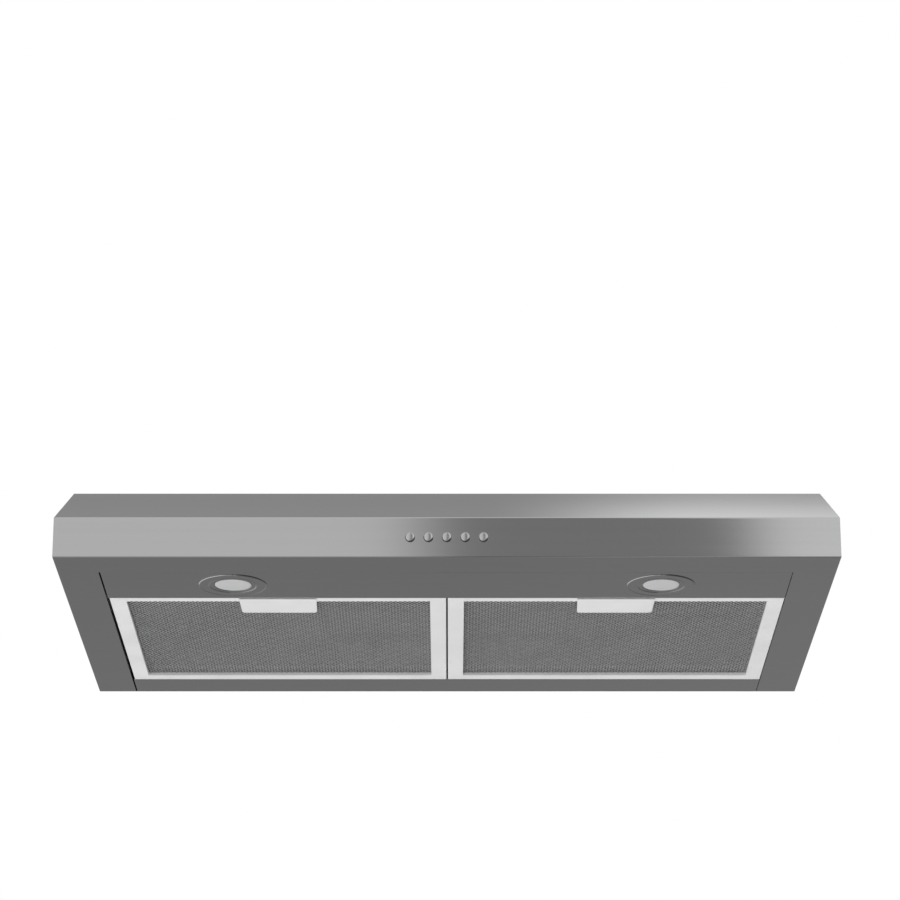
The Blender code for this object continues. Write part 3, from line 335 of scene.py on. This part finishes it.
def galvanised_steel():
    """Zinc-coated sheet with its crystal spangle."""
    zinc = Surface("galvanised_steel")
    place = zinc.place()
    stir = zinc.noise(place, 60.0, 2.0, 0.5, "Color")
    wavy = zinc.blend(0.006, place, stir, "ADD")
    crystal = zinc.node("ShaderNodeSeparateXYZ", "X", Vector=zinc.cells(wavy, 95.0))
    small = zinc.node("ShaderNodeSeparateXYZ", "Y", Vector=zinc.cells(wavy, 210.0))
    tone = zinc.maths("ADD", zinc.maths("MULTIPLY", crystal, 0.7), zinc.maths("MULTIPLY", small, 0.3))
    dull = zinc.noise(place, 14.0, 4.0, 0.6)
    crystals = zinc.span(tone, 0.0, 1.0, 0.30, 0.44)
    patches = zinc.span(dull, 0.4, 0.7, 0.0, 0.10)
    zinc.set(
        base_color=zinc.blend(tone, (0.40, 0.41, 0.425), (0.62, 0.63, 0.64)),
        metallic=1.0,
        roughness=zinc.maths("ADD", crystals, patches),
        normal=zinc.bump(tone, 0.00002, 0.4, zinc.eased_edges(0.0004)),
    )
    return zinc.material


def filter_aluminium():
    """Pale satin-anodised aluminium of the filter frames and their latch plates."""
    metal = Surface("filter_aluminium")
    place = metal.place()
    grain = metal.noise(place, 2400.0, 2.0, 0.6)
    cloud = metal.noise(place, 22.0, 4.0, 0.6)
    metal.set(
        base_color=metal.blend(metal.span(cloud, 0.35, 0.7), (0.80, 0.80, 0.80), (0.85, 0.85, 0.85)),
        metallic=0.15,
        roughness=metal.span(cloud, 0.3, 0.7, 0.44, 0.54),
        normal=metal.bump(grain, 0.00001, 0.3, metal.eased_edges(0.0006)),
    )
    return metal.material


def mesh_aluminium(name, dark, light, metallic, gloss):
    """Rolled aluminium of the expanded mesh, slightly dulled in patches; near-black colours make it painted
    shade. gloss is its specular level.
    """
    metal = Surface(name)
    place = metal.place()
    cloud = metal.noise(place, 18.0, 5.0, 0.65)
    strand = metal.noise(place, 900.0, 2.0, 0.5)
    metal.set(
        base_color=metal.blend(metal.span(cloud, 0.3, 0.7), dark, light),
        metallic=metallic,
        roughness=metal.span(strand, 0.3, 0.7, 0.38, 0.50),
        specular_ior_level=gloss,
    )
    return metal.material


def bright_steel():
    """Plain drawn steel of shafts, screws, springs and cans."""
    metal = Surface("bright_steel")
    place = metal.place()
    marks = metal.noise(place, 160.0, 4.0, 0.65)
    metal.set(
        base_color=metal.blend(marks, (0.60, 0.60, 0.61), (0.76, 0.76, 0.76)),
        metallic=1.0,
        roughness=metal.span(marks, 0.3, 0.7, 0.20, 0.32),
        normal=metal.bump(marks, 0.00001, 0.2, metal.eased_edges(0.0002)),
    )
    return metal.material


def bright_chrome():
    """Polished chrome of the push-buttons, with the faintest haze."""
    metal = Surface("bright_chrome")
    haze = metal.noise(metal.place(), 420.0, 3.0, 0.6)
    metal.set(
        base_color=metal.blend(haze, (0.41, 0.41, 0.42), (0.46, 0.46, 0.46)),
        metallic=1.0,
        roughness=metal.span(haze, 0.3, 0.7, 0.10, 0.16),
    )
    return metal.material


def frosted_lens():
    """Milky diffuser with a fine stipple on its face."""
    lens = Surface("frosted_lens")
    place = lens.place()
    stipple = lens.cells(place, 1500.0, "Distance", "SMOOTH_F1")
    cloud = lens.noise(place, 60.0, 2.0, 0.5)
    lens.set(
        base_color=lens.blend(cloud, (0.50, 0.50, 0.50), (0.55, 0.55, 0.55)),
        roughness=lens.span(cloud, 0.3, 0.7, 0.34, 0.42),
        subsurface_weight=0.25,
        subsurface_scale=0.002,
        normal=lens.bump(stipple, 0.00004, 0.35),
    )
    return lens.material


def moulded_plastic(name, dark, light, roughness):
    """Moulded plastic with a fine spark-eroded texture and a little bloom."""
    plastic = Surface(name)
    place = plastic.place()
    spark = plastic.noise(place, 2600.0, 2.0, 0.6)
    bloom = plastic.noise(place, 35.0, 4.0, 0.6)
    plastic.set(
        base_color=plastic.blend(bloom, dark, light),
        roughness=plastic.span(bloom, 0.3, 0.7, roughness - 0.05, roughness + 0.07),
        normal=plastic.bump(spark, 0.00002, 0.35, plastic.eased_edges(0.0003)),
    )
    return plastic.material


def circuit_board():
    """Green solder mask over copper tracks that run both ways."""
    board = Surface("circuit_board")
    place = board.place()
    tracks = board.node("ShaderNodeTexBrick", "Fac", Vector=place, Scale=260.0, Mortar_Size=0.03)
    cloud = board.noise(place, 80.0, 3.0, 0.6)
    mask = board.blend(cloud, (0.020, 0.105, 0.040), (0.030, 0.135, 0.055))
    board.set(
        base_color=board.blend(tracks, mask, (0.05, 0.20, 0.07)),
        roughness=board.span(cloud, 0.3, 0.7, 0.28, 0.40),
        normal=board.bump(tracks, 0.00003, 0.5),
    )
    return board.material


def sintered_bronze():
    """Porous bearing bronze, darkened with oil in its pores."""
    bronze = Surface("sintered_bronze")
    pores = bronze.cells(bronze.place(), 2600.0, "Distance")
    bronze.set(
        base_color=bronze.blend(bronze.span(pores, 0.05, 0.45), (0.16, 0.09, 0.04), (0.55, 0.37, 0.20)),
        metallic=1.0,
        roughness=bronze.span(pores, 0.0, 0.5, 0.60, 0.36),
        normal=bronze.bump(pores, 0.00005, 0.4),
    )
    return bronze.material


def lead_sheath():
    """Soft black sheath of the inner leads."""
    sheath = Surface("lead_sheath")
    place = sheath.place()
    grain = sheath.noise(place, 700.0, 3.0, 0.6)
    sheath.set(
        base_color=sheath.blend(grain, (0.012, 0.012, 0.013), (0.030, 0.030, 0.031)),
        roughness=sheath.span(grain, 0.3, 0.7, 0.45, 0.60),
        sheen_weight=0.1,
        normal=sheath.bump(grain, 0.00003, 0.4),
    )
    return sheath.material


MATERIALS = {
    "brushed_steel": brushed_steel(),
    "galvanised_steel": galvanised_steel(),
    "filter_aluminium": filter_aluminium(),
    "filter_mesh": mesh_aluminium("filter_mesh", (0.80, 0.80, 0.80), (0.88, 0.88, 0.88), 0.15, 0.5),
    # painted shade: near black with almost no specular, for the shaded depth of the filter pack, not the
    # aluminium's own colour
    "painted_shade_inner_mesh": mesh_aluminium("painted_shade_inner_mesh", (0.012, 0.012, 0.012), (0.022, 0.022, 0.022), 0.0, 0.05),
    "bright_steel": bright_steel(),
    "bright_chrome": bright_chrome(),
    "frosted_lens": frosted_lens(),
    "black_plastic": moulded_plastic("black_plastic", (0.018, 0.018, 0.019), (0.034, 0.034, 0.035), 0.46),
    "grey_plastic": moulded_plastic("grey_plastic", (0.150, 0.150, 0.155), (0.200, 0.200, 0.205), 0.48),
    "circuit_board": circuit_board(),
    "sintered_bronze": sintered_bronze(),
    "lead_sheath": lead_sheath(),
}


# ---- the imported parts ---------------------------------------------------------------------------
def dress_parts():
    """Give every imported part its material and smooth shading."""
    finish_of = {part["node"]: part["material_slot"] for part in frame["record"]["subparts"]}
    for name, item in frame["nodes"].items():
        for holder in item.material_slots:
            holder.material = MATERIALS[finish_of[name]]
        smooth_shading(item)


# ---- filter mesh --------------------------------------------------------------------------------
def mesh_layer(name, label, low, pitch, strand, thick, tilt, shift, material):
    """One layer of expanded metal: staggered diamond holes between tilted strands, closed all round.

    pitch is the distance between neighbouring holes across and along the layer, strand half the width
    of metal between two holes, and shift moves the whole pattern in the plane of the layer."""
    node = "filter_mesh_" + label
    corner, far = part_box(node)
    middle = centre_of("filter_latch_" + label).x
    slot_half = 13.5 * MM
    slot_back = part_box("latch_spring_" + label)[1].y + 0.5 * MM
    half = (pitch[0] / 2 - strand[0], pitch[1] / 2 - strand[1])
    edge = 0.0010
    columns = int((far.x - corner.x - 2 * edge) / pitch[0])
    rows = int((far.y - corner.y - 2 * edge) / (pitch[1] / 2)) - 1
    start_x = (corner.x + far.x) / 2 - pitch[0] * (columns - 0.5) / 2 + shift[0]
    start_y = (corner.y + far.y) / 2 - pitch[1] / 2 * (rows - 1) / 2 + shift[1]

    def hole(column, row):
        """Where a hole is, or None outside the layer."""
        if not (0 <= row < rows and 0 <= column < columns):
            return None
        return (start_x + pitch[0] * (column + 0.5 * (row % 2)), start_y + pitch[1] / 2 * row)

    points = []
    corner_index = {}

    def corner_of(column, row, direction):
        """Index of one corner of a hole: left, right, front or back."""
        key = (column, row, direction)
        if key not in corner_index:
            x, y = hole(column, row)
            dx, dy, dz = {
                "left": (-half[0], 0.0, 0.0),
                "right": (half[0], 0.0, 0.0),
                "front": (0.0, -half[1], -tilt),
                "back": (0.0, half[1], tilt),
            }[direction]
            corner_index[key] = len(points)
            points.append((x + dx, y + dy, low + dz))
        return corner_index[key]

    def beside(column, row, side):
        """The hole half a pitch to one side in the next row."""
        return column + (row % 2) - (1 if side < 0 else 0), row + 1

    bonds = {}
    for row in range(1, rows - 1):
        for column in range(columns):
            above = beside(column, row, 1)
            around = [(column, row), (above[0], row - 1), (column + 1, row), (above[0], row + 1)]
            if any(hole(*each) is None for each in around):
                continue
            x, y = hole(column, row)
            x += pitch[0] / 2
            if abs(x - middle) < slot_half and y < slot_back:
                continue
            bonds[(column, row)] = [
                corner_of(*around[0], "right"),
                corner_of(*around[1], "back"),
                corner_of(*around[2], "left"),
                corner_of(*around[3], "front"),
            ]
    faces = []
    used = set()
    for row in range(rows - 1):
        for column in range(columns):
            for side in (-1, 1):
                other = beside(column, row, side)
                if hole(*other) is None:
                    continue
                if side > 0:
                    ends = ((column, row), (other[0] - 1, other[1]))
                    ring = [
                        corner_of(column, row, "right"),
                        corner_of(*other, "front"),
                        corner_of(*other, "left"),
                        corner_of(column, row, "back"),
                    ]
                else:
                    ends = ((column - 1, row), other)
                    ring = [
                        corner_of(column, row, "back"),
                        corner_of(*other, "right"),
                        corner_of(*other, "front"),
                        corner_of(column, row, "left"),
                    ]
                if all(end in bonds for end in ends):
                    faces.append(ring)
                    used.update(ends)
    faces += [bonds[key] for key in bonds if key in used]
    kept = sorted({index for face in faces for index in face})
    renumber = {old: new for new, old in enumerate(kept)}
    lower = [points[old] for old in kept]
    faces = [[renumber[index] for index in face] for face in faces]
    count = len(lower)
    upper = [(x, y, z + thick) for x, y, z in lower]
    directed = {(face[i], face[(i + 1) % 4]) for face in faces for i in range(4)}
    walls = [[b, a, a + count, b + count] for a, b in directed if (b, a) not in directed]
    floor_faces = [face[::-1] for face in faces]
    roof_faces = [[index + count for index in face] for face in faces]
    walls = [wall[::-1] for wall in sorted(walls)]
    new_piece(
        name, lower + upper, floor_faces + roof_faces + walls,
        MATERIALS[material], "filter_" + label, "filter_mesh", node,
    )


def make_filter_meshes():
    """Expanded aluminium in each filter: an open bright face, and a denser layer laid crossways behind it
    that stands for the shaded depth of the pack."""
    for label in SIDES:
        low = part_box("filter_mesh_" + label)[0].z
        mesh_layer("mesh_face_layer_" + label, label, low + 0.2 * MM, (4.68 * MM, 6.15 * MM),
                   (0.15 * MM, 0.24 * MM), 0.08 * MM, 0.05 * MM, (0, 0), "filter_mesh")
        # the inner layer's near-black colour is painted shade of the pack's depth behind the bright face
        mesh_layer("mesh_inner_layer_" + label, label, low + 2.2 * MM, (6.15 * MM, 4.68 * MM),
                   (1.30 * MM, 1.05 * MM), 0.40 * MM, -0.3 * MM, (0.7 * MM, 0.4 * MM), "painted_shade_inner_mesh")


def make_latch_springs():
    """Coil springs behind the latches, each on its own copy of its mesh."""
    turns = 5
    steps = 16  # along one turn
    sides = 8  # round the wire
    wire = 0.3 * MM
    for label in SIDES:
        node = "latch_spring_" + label
        low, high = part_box(node)
        middle = (low + high) / 2
        coil = (high.x - low.x) / 2 - wire
        length = high.y - low.y
        rise = (length - 2 * wire) / (turns * steps)
        points = []
        for step in range(turns * steps + 1):
            turn = 2 * pi * step / steps
            outward = Vector((cos(turn), 0.0, sin(turn)))
            round_step = coil * 2 * pi / steps
            along = Vector((-sin(turn) * round_step, rise, cos(turn) * round_step)).normalized()
            across = along.cross(outward)
            on_axis = Vector((middle.x, low.y + wire + rise * step, middle.z))
            for side in range(sides):
                angle = 2 * pi * side / sides
                points.append(on_axis + outward * (coil + wire * cos(angle)) + across * (wire * sin(angle)))
        faces = [list(range(sides))[::-1]]
        for ring in range(0, turns * steps * sides, sides):
            for side in range(sides):
                after = (side + 1) % sides
                faces.append([ring + side, ring + after, ring + sides + after, ring + sides + side])
        last = turns * steps * sides
        faces.append(list(range(last, last + sides)))
        coil_spring = new_piece("coil_spring_" + label, points, faces, MATERIALS["bright_steel"],
                                "filter_" + label, "bright_steel", node)
        smooth_shading(coil_spring)
        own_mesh(coil_spring)


# ---- lamps and buttons --------------------------------------------------------------------------
RIM_STANDS_OUT = 0.9 * MM  # how far a bezel's rim stands out from the underside


def make_lamps():
    """Pressed bezels with an inner step, and shallow domed lenses."""
    for label in SIDES:
        centre = centre_of("lamp_bezel_" + label)
        centre.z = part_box("lamp_bezel_" + label)[0].z + RIM_STANDS_OUT
        bezel = [
            (33.5, -0.05), (33.4, -0.2), (33.1, -0.65), (32.8, -0.85), (32.4, -0.8), (32.0, -0.55),
            (24.0, -0.6), (23.6, -0.8), (23.2, -0.85), (22.8, -0.75), (22.4, -0.35), (18.6, -0.3),
            (18.0, 0.0), (18.0, 0.8), (20.6, 0.8), (20.6, 10.5), (24.0, 10.5), (24.0, -0.3),
        ]
        profile = [(radius * MM, along * MM) for radius, along in bezel]
        turned_piece("lamp_trim_ring_" + label, rounded_profile(profile, 0.2 * MM), centre, "Z",
                     MATERIALS["brushed_steel"], "hood", "brushed_steel", "lamp_bezel_" + label)
        lens = [
            (0.0, -0.4), (8.0, -0.36), (15.0, -0.2), (17.6, 0.05),
            (17.6, 1.1), (20.3, 1.1), (20.3, 3.0), (0.0, 3.0),
        ]
        profile = [(radius * MM, along * MM) for radius, along in lens]
        turned_piece("lamp_diffuser_" + label, rounded_profile(profile, 0.25 * MM), centre, "Z",
                     MATERIALS["frosted_lens"], "hood", "frosted_lens", "lamp_lens_" + label)


CROWN_RADIUS = 48.0  # of the push-buttons' faces, in millimetres
RIM_START = 3.1  # where the crown meets the rounded rim, from the axis, in millimetres
RIM_RADIUS = 1.3  # in millimetres
RIM_DEPTH = 0.1  # how far the crown has fallen back where the rim starts, in millimetres


def make_buttons():
    """Slightly crowned caps with a rounded rim, on the stems that run in the switch block."""
    names = {"lamps_button": "button_lamps", "stop_button": "button_stop", "low_button": "button_speed_low",
             "mid_button": "button_speed_mid", "high_button": "button_speed_high"}
    for body, node in names.items():
        low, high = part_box(node)
        centre = (low + high) / 2
        centre.y = low.y
        crown = [(step * 0.5, (step * 0.5) ** 2 / 2 / CROWN_RADIUS) for step in range(7)]
        rim = []
        for degrees in range(10, 91, 10):
            turn = radians(degrees)
            outward = RIM_START + RIM_RADIUS * sin(turn)
            rim.append((outward, RIM_DEPTH + RIM_RADIUS - RIM_RADIUS * cos(turn)))
        stem = [(4.4, 4.3), (5.8, 4.3), (5.8, 5.3), (2.5, 5.3), (2.5, 18.5), (0.0, 18.5)]
        profile = [(radius * MM, along * MM) for radius, along in crown + rim + stem]
        turned_piece("cap_of_" + node, rounded_profile(profile, 0.1 * MM), centre, "Y",
                     MATERIALS["bright_chrome"], body, "bright_chrome", node)


# ---- floor, light and camera --------------------------------------------------------------------
FLOOR_LEVEL = -1.75
FLOOR_RADIUS = 3.5


def make_floor():
    """A round pale floor that fades out at its rim and is clear from below."""
    pale = Surface("floor")
    place = pale.place()
    speck = pale.noise(place, 40.0, 3.0, 0.5)
    pale.set(base_color=pale.blend(speck, (0.84, 0.84, 0.84), (0.87, 0.87, 0.87)), roughness=0.9)
    distance = pale.node("ShaderNodeVectorMath", "Value", {"operation": "LENGTH"}, Vector=place)
    rim = pale.span(distance, 0.55 * FLOOR_RADIUS, 0.97 * FLOOR_RADIUS, 0.0, 1.0, "SMOOTHSTEP")
    hidden = pale.maths("MAXIMUM", rim, pale.node("ShaderNodeNewGeometry", "Backfacing"))
    clear = pale.node("ShaderNodeBsdfTransparent")
    mixed = pale.tree.nodes.new("ShaderNodeMixShader")
    pale.put(mixed.inputs[0], hidden)
    pale.put(mixed.inputs[1], pale.shader.outputs[0])
    pale.put(mixed.inputs[2], clear)
    pale.put(pale.tree.nodes["Material Output"].inputs["Surface"], mixed.outputs[0])
    segments = 96
    rim_points = []
    for step in range(segments):
        turn = 2 * pi * step / segments
        rim_points.append((FLOOR_RADIUS * cos(turn), FLOOR_RADIUS * sin(turn), 0.0))
    mesh = bpy.data.meshes.new("floor")
    mesh.from_pydata(rim_points, [], [list(range(segments))])
    mesh.materials.append(pale.material)
    floor = bpy.data.objects.new("floor", mesh)
    floor.location.z = FLOOR_LEVEL
    floor.visible_glossy = False
    bpy.context.scene.collection.objects.link(floor)


def make_studio():
    """Soft studio light as a sky of broad panels, and plain white where the camera sees past the hood."""
    world = bpy.data.worlds.new("studio")
    world.use_nodes = True
    bpy.context.scene.world = world
    sky = Nodes(world.node_tree)
    direction = sky.node("ShaderNodeTexCoord", "Generated")
    split = sky.tree.nodes.new("ShaderNodeSeparateXYZ")
    sky.put(split.inputs[0], direction)
    x, y, z = split.outputs
    front_angle = sky.maths("ARCTAN2", x, sky.maths("MULTIPLY", y, -1.0))
    back_angle = sky.maths("ARCTAN2", x, y)

    left_panel = sky.span(front_angle, radians(-1.4), radians(0.4), 0.65, 0.0, "SMOOTHSTEP")
    right_panel = sky.span(front_angle, radians(4.75), radians(6.2), 0.0, 0.82, "SMOOTHSTEP")
    front = sky.maths("ADD", 0.36, sky.maths("ADD", left_panel, right_panel))
    high = sky.span(z, 0.57, 0.67, 0.0, 1.0, "SMOOTHSTEP")
    glow = sky.maths("MULTIPLY", sky.span(back_angle, radians(0.6), radians(5.8), 0.0, 1.0, "SMOOTHSTEP"),
                     sky.span(back_angle, radians(6.4), radians(8.8), 1.0, 0.92))
    back = sky.maths("ADD", sky.span(high, 0.0, 1.0, 0.33, 0.41),
                     sky.maths("MULTIPLY", glow, sky.span(high, 0.0, 1.0, 0.10, 0.70)))
    to_back = sky.span(y, -0.25, 0.25, 0.0, 1.0, "SMOOTHSTEP")
    upper = sky.node("ShaderNodeMix", 0, Factor=to_back, A=front, B=back)
    overhead = sky.span(z, 0.75, 0.98, 0.0, 1.0, "SMOOTHSTEP")
    upper = sky.node("ShaderNodeMix", 0, Factor=overhead, A=upper, B=1.1)
    upper = sky.node("ShaderNodeMix", 0, Factor=sky.span(sky.maths("ABSOLUTE", x), 0.3, 0.6), A=upper, B=1.0)
    low_back = sky.span(back_angle, radians(-2.0), radians(8.0), 0.28, 0.30, "SMOOTHSTEP")
    low_front = sky.maths("MULTIPLY", front, 0.65)
    lower = sky.node("ShaderNodeMix", 0, Factor=to_back, A=low_front, B=low_back)
    dark_right = sky.maths("MULTIPLY", sky.span(z, -0.45, -0.75), sky.span(x, 0.05, 0.2))
    lower = sky.node("ShaderNodeMix", 0, Factor=dark_right, A=lower, B=0.13)
    lower = sky.node("ShaderNodeMix", 0, Factor=sky.span(x, 0.25, 0.5), A=lower, B=0.13)
    lower = sky.node("ShaderNodeMix", 0, Factor=sky.span(x, -0.25, -0.5), A=lower, B=1.15)
    to_upper = sky.span(z, -0.12, 0.08, 0.0, 1.0, "SMOOTHSTEP")
    strength = sky.node("ShaderNodeMix", 0, Factor=to_upper, A=lower, B=upper)

    studio = world.node_tree.nodes["Background"]
    sky.put(studio.inputs["Strength"], strength)
    sky.put(studio.inputs["Color"], (1.0, 1.0, 1.0))
    white = sky.node("ShaderNodeBackground", 0, Color=(1.0, 1.0, 1.0), Strength=1.0)
    seen = sky.tree.nodes.new("ShaderNodeMixShader")
    sky.put(seen.inputs[0], sky.node("ShaderNodeLightPath", "Is Camera Ray"))
    sky.put(seen.inputs[1], studio.outputs[0])
    sky.put(seen.inputs[2], white)
    sky.put(world.node_tree.nodes["World Output"].inputs["Surface"], seen.outputs[0])


def make_low_light():
    """A wide soft light below the hood's front, kept out of the metal's reflections."""
    lamp = bpy.data.lights.new("low_light", "AREA")
    lamp.shape = "RECTANGLE"
    lamp.size = 2.4
    lamp.size_y = 1.2
    lamp.energy = 9.4
    holder = bpy.data.objects.new("low_light", lamp)
    holder.location = (0.0, -0.6, -1.55)
    holder.rotation_euler = (Vector((0.0, -0.1, -0.1)) - holder.location).to_track_quat("-Z", "Y").to_euler()
    holder.visible_camera = False
    holder.visible_glossy = False
    bpy.context.scene.collection.objects.link(holder)


def make_camera():
    """A long lens in front of the hood and well below it."""
    camera = bpy.data.cameras.new("camera")
    camera.lens = 135
    camera.sensor_width = 36
    camera.clip_end = 100
    holder = bpy.data.objects.new("camera", camera)
    holder.location = (0.003, -3.358, -1.116)
    holder.rotation_euler = (radians(90 + 19.95), 0, 0)
    bpy.context.scene.collection.objects.link(holder)
    bpy.context.scene.camera = holder


dress_parts()
make_filter_meshes()
make_latch_springs()
make_lamps()
make_buttons()
make_floor()
make_studio()
make_low_light()
make_camera()
bpy.context.scene.view_settings.view_transform = "Standard"
